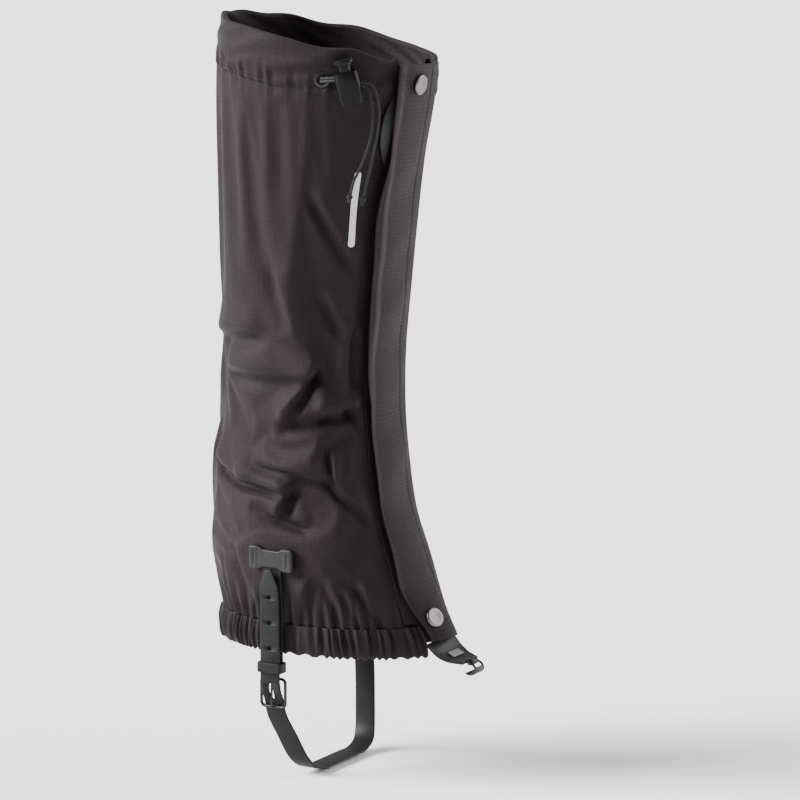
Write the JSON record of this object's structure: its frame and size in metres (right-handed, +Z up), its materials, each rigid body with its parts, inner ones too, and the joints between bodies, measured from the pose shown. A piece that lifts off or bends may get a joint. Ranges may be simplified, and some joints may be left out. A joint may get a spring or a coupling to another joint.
{
  "type": "hiking gaiter",
  "caption": "Knee-high front-opening hiking gaiter with snap and hook-and-loop flap, drawcord top, elastic hem, lace hook and buckled instep strap.",
  "frame": {"origin": "centre of the bottom opening, at the level of the elastic hem", "axes": "+Z up the leg, -Y to the toes (the front flap), -X to the wearer's right (the outer side, with the buckle)"},
  "size_m": [0.1424, 0.204, 0.5223],
  "materials": {
    "shell_fabric": "uncoated ripstop weave, soft sheen",
    "seam_fabric": "smooth taped seam",
    "hook_tape": "stiff hooks",
    "loop_tape": "napped loops",
    "rubber_strap": "satin, moulded",
    "tab_rubber": "smooth coated fabric",
    "elastic": "ribbed",
    "black_plastic": "gloss",
    "snap_metal": "satin nickel",
    "bright_metal": "polished",
    "drawcord": "braided",
    "label": "plain woven"
  },
  "bodies": {
    "shell": {"lateral_panel": "shell_fabric", "medial_panel": "shell_fabric", "drawcord_tunnel": "shell_fabric", "hem_casing": "shell_fabric", "front_placket": "shell_fabric", "front_flap_middle": "shell_fabric", "back_seam_tape": "seam_fabric", "flap_fold": "seam_fabric", "hook_tape": "hook_tape", "loop_tape_middle": "loop_tape", "strap_plate_lateral": "rubber_strap", "strap_plate_medial": "rubber_strap", "plate_backing_lateral": "rubber_strap", "plate_backing_medial": "rubber_strap", "buckle_strap": "rubber_strap", "instep_strap": "rubber_strap", "lace_tab": "tab_rubber", "hem_elastic": "elastic", "cord_lock_barrel": "black_plastic", "snap_stud_top": "snap_metal", "snap_stud_bottom": "snap_metal", "snap_post_top": "snap_metal", "snap_post_bottom": "snap_metal", "tunnel_eyelet": "bright_metal", "buckle_frame": "bright_metal", "cord_lock_spring": "bright_metal", "drawcord_long": "drawcord", "drawcord_short": "drawcord", "drawcord_tail_long": "drawcord", "drawcord_tail_short": "drawcord", "cord_knot_long": "drawcord", "cord_knot_short": "drawcord", "label_patch": "label"},
    "flap_top": {"front_flap_upper": "shell_fabric", "loop_tape_upper": "loop_tape", "snap_cap_top": "snap_metal", "snap_socket_top": "snap_metal"},
    "flap_bottom": {"front_flap_lower": "shell_fabric", "loop_tape_lower": "loop_tape", "snap_cap_bottom": "snap_metal", "snap_socket_bottom": "snap_metal"},
    "plunger": {"cord_lock_plunger": "black_plastic"},
    "keeper": {"strap_keeper": "rubber_strap"},
    "prong": {"buckle_prong": "bright_metal"},
    "hook": {"lace_hook": "bright_metal"}
  },
  "joints": [
    {"name": "flap_top_hinge", "type": "hinge", "parent": "shell", "child": "flap_top", "pos_m": [0.0206, -0.0498, 0.2046], "axis": [0, -0.125, 0.9922], "range_deg": [0, 105]},
    {"name": "flap_bottom_hinge", "type": "hinge", "parent": "shell", "child": "flap_bottom", "pos_m": [0.022, -0.0885, 0.0107], "axis": [0, 0.3077, 0.9515], "range_deg": [0, 70]},
    {"name": "plunger_slide", "type": "slide", "parent": "shell", "child": "plunger", "axis": [0.124, -0.167, -0.9781], "range_m": [0, 0.004], "stiffness_N_per_m": 400, "springref_m": -0.004, "deforming": ["cord_lock_spring"]},
    {"name": "keeper_slide", "type": "slide", "parent": "shell", "child": "keeper", "axis": [0, 0, 1], "range_m": [0, 0.005]},
    {"name": "prong_pivot", "type": "hinge", "parent": "shell", "child": "prong", "pos_m": [-0.05747, 0.009, -0.018], "axis": [0, 1, 0], "range_deg": [0, 5]},
    {"name": "lace_hook_pivot", "type": "hinge", "parent": "shell", "child": "hook", "pos_m": [0, -0.115, -0.00351], "axis": [1, 0, 0], "range_deg": [-55, 10]}
  ]
}
